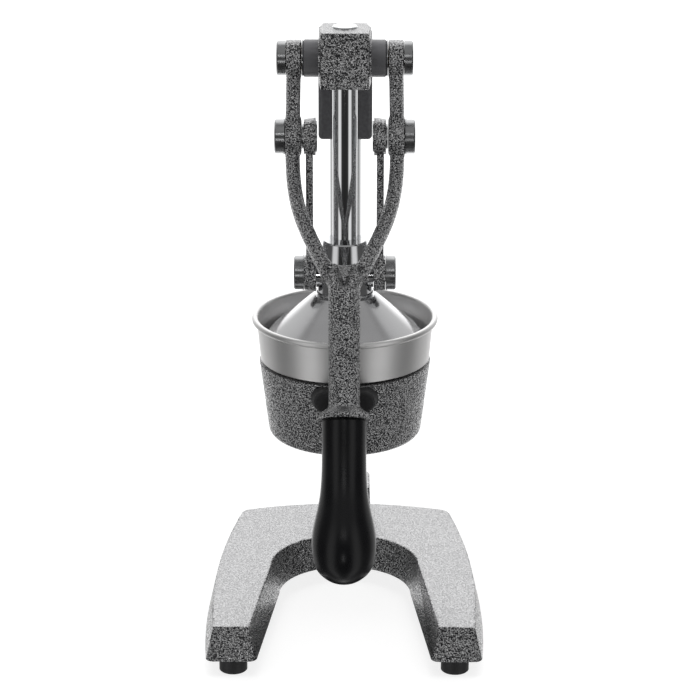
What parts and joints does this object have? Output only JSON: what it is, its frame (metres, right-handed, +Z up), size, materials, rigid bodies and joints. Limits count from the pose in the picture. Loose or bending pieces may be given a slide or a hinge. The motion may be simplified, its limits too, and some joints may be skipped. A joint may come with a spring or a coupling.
{
  "type": "lever citrus press",
  "caption": "Free-standing lever citrus press: a toggle linkage drives a steel cone down into a juice bowl held over a glass bay between the legs of a horseshoe base.",
  "frame": {"origin": "centre of the bounding box at floor level, under the rubber feet", "axes": "+Z up, -Y towards the user and the lever, +X to the user's right"},
  "size_m": [0.181, 0.2444, 0.3975],
  "materials": {
    "hammertone": "black and silver hammertone enamel on cast metal",
    "smooth_paint": "smooth dark grey satin enamel",
    "chrome": "bright chrome plate",
    "polished_steel": "polished stainless steel",
    "satin_steel": "fine satin stainless steel",
    "pivot_steel": "turned grey steel",
    "zinc_steel": "zinc plated steel",
    "bronze": "plain sintered bronze",
    "rubber": "matt black rubber",
    "grip": "satin black phenolic plastic"
  },
  "bodies": {
    "frame": {"base_casting": "hammertone", "rubber_feet": "rubber", "foot_screws": "zinc_steel", "column": "chrome", "column_set_screw": "zinc_steel", "cup_holder": "hammertone", "cup_holder_set_screws": "zinc_steel", "bumper": "rubber", "bumper_screw": "zinc_steel", "juice_bowl": "satin_steel", "juice_strainer": "satin_steel", "head_casting": "hammertone", "column_clamp": "smooth_paint", "clamp_screws": "zinc_steel", "clamp_set_screw": "zinc_steel", "rod_bushing": "bronze", "top_pivot_bolts": "pivot_steel", "top_pivot_washers": "pivot_steel"},
    "lever": {"handle_fork": "hammertone", "fork_bushes": "bronze", "handle_grip": "grip", "grip_insert": "bronze", "knee_bolts": "pivot_steel", "knee_washers": "pivot_steel"},
    "press": {"press_rod": "chrome", "press_collar": "chrome", "press_cone": "polished_steel", "cone_nut": "zinc_steel", "lower_pivot_bolts": "pivot_steel", "lower_pivot_washers": "pivot_steel"},
    "links": {"link_left": "hammertone", "link_right": "hammertone", "knee_studs": "pivot_steel", "link_bushes": "bronze"}
  },
  "joints": [
    {"name": "lever", "type": "hinge", "parent": "frame", "child": "lever", "pos_m": [0, 0.01875, 0.3765], "axis": [-1, 0, 0], "range_deg": [0, 120]},
    {"name": "press_slide", "type": "slide", "parent": "frame", "child": "press", "axis": [0, 0, 1], "range_m": [0, 0.08804]},
    {"name": "link_swing", "type": "hinge", "parent": "press", "child": "links", "pos_m": [0, 0.01875, 0.2345], "axis": [1, 0, 0], "range_deg": [0, 29.09]}
  ],
  "couplings": [
    {"joint": "press_slide", "follows": "lever", "m_per_rad": 0.041987},
    {"joint": "link_swing", "follows": "lever", "ratio": 0.24196}
  ]
}
